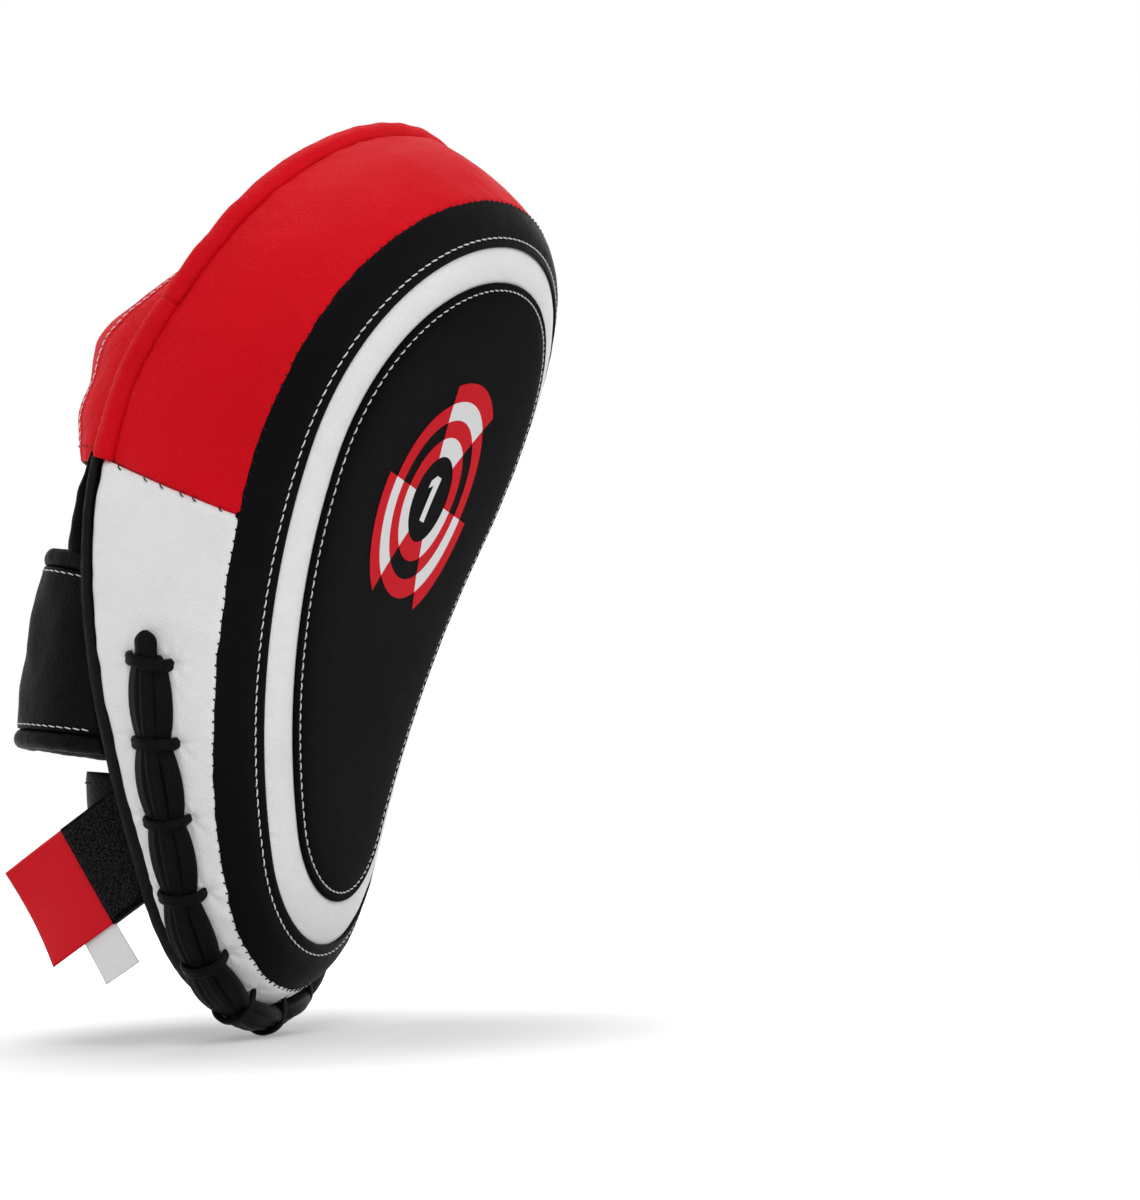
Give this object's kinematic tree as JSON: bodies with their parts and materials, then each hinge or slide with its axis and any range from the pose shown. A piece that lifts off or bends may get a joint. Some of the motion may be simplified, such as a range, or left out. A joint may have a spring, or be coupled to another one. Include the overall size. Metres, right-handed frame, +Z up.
{
  "type": "focus pad",
  "caption": "Curved hand-held striking pad with an egg-shaped padded face, laced side, finger hood, hand cuff and hook-and-loop wrist strap.",
  "frame": {"origin": "on the surface that the pad stands on, under the middle of its box", "axes": "+Z up from the laced toe to the crown; the striking face looks towards -Y and the hand side towards +Y; X across the pad"},
  "size_m": [0.1906, 0.1794, 0.3004],
  "materials": {
    "black_leather": "smooth semi-matt grained",
    "red_leather": "smooth semi-gloss grained",
    "white_leather": "smooth semi-gloss",
    "black_binding": "folded edge tape",
    "foam": "closed-cell foam",
    "gel": "soft gel",
    "board": "stiff fibreboard",
    "lining_fabric": "brushed knit",
    "hook_and_loop": "fuzzy pile",
    "red_label": "woven satin",
    "white_label": "woven satin",
    "lace": "flat polyester lace"
  },
  "bodies": {
    "pad": {"centre_panel": "black_leather", "white_band": "white_leather", "outer_ring": "black_leather", "upper_gusset": "red_leather", "lower_gusset": "white_leather", "rear_piping": "red_leather", "rear_binding": "black_binding", "front_foam": "foam", "gel_layer": "gel", "core_foam": "foam", "back_board": "board", "back_panel": "black_leather", "finger_hood": "red_leather", "hood_lining": "lining_fabric", "hood_closure": "red_leather", "hand_cuff": "black_leather", "cuff_lining": "lining_fabric", "cuff_top_hem": "black_leather", "cuff_foot_hem": "black_leather", "bolster_left": "black_leather", "bolster_right": "black_leather", "palm_grip": "black_leather", "palm_grip_foam": "foam", "hook_patch": "hook_and_loop", "strap_anchor": "black_leather", "lace_strands": "lace", "lace_loops": "lace"},
    "strap": {"wrist_strap": "black_leather", "strap_tab": "black_leather", "strap_loop_face": "hook_and_loop", "red_label": "red_label", "care_label": "white_label"}
  },
  "joints": [
    {"name": "strap_open", "type": "hinge", "parent": "pad", "child": "strap", "pos_m": [0.046, 0.03238, 0.06453], "axis": [0, -0.11, -0.9939], "range_deg": [0, 90]}
  ]
}
